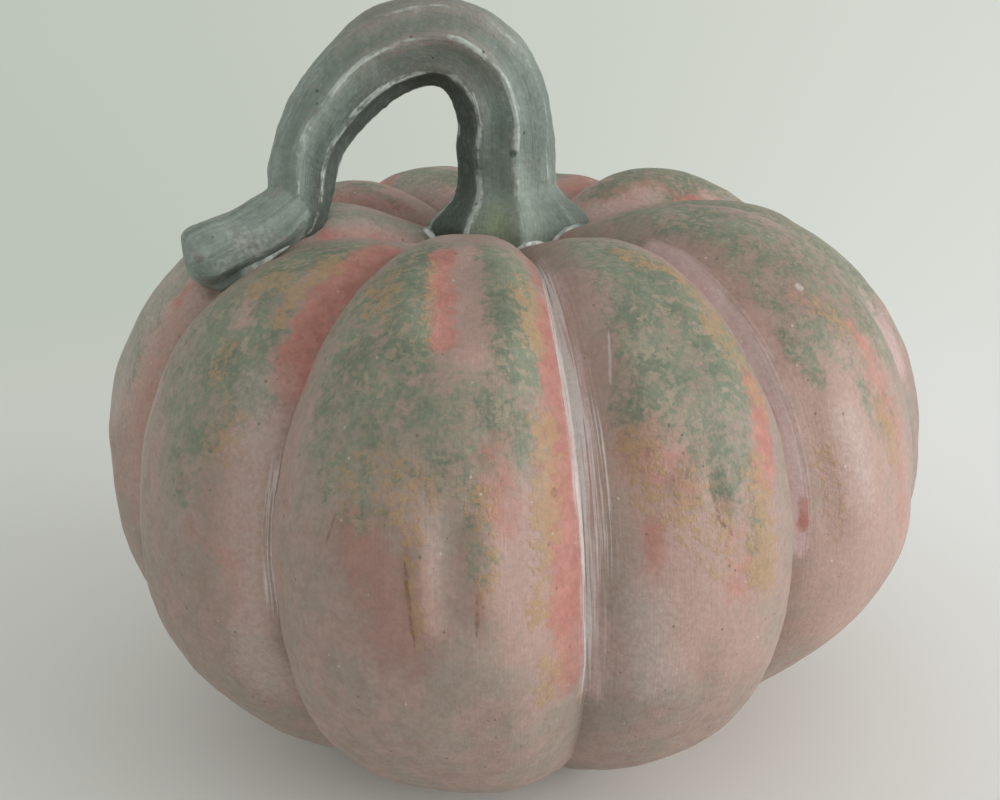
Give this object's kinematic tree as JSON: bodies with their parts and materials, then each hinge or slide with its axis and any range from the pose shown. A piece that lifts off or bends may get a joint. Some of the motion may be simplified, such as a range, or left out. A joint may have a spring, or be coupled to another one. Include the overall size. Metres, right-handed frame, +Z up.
{
  "type": "ceramic pumpkin figure",
  "caption": "Hollow lobed ceramic pumpkin with a ribbed clay stem that arches over the crown and lies down on one shoulder, standing on a flat base.",
  "frame": {"origin": "on the flat base, below the middle of the crown", "axes": "+Z up out of the crown, the front faces -Y, and the stem's end lies towards -X"},
  "size_m": [0.1741, 0.1709, 0.1516],
  "materials": {
    "painted_clay": "sponged and dry-brushed paint in taupe, muted green, coral and ochre on fired clay, dull satin",
    "stem_clay": "grey-green paint with pale dry-brushed ribs on fired clay, dull satin",
    "pale_slip": "bare white slip, matte"
  },
  "bodies": {
    "root": {"body_shell": "painted_clay", "stem": "stem_clay", "stem_foot_slip": "pale_slip", "stem_tip_slip": "pale_slip"}
  },
  "joints": []
}
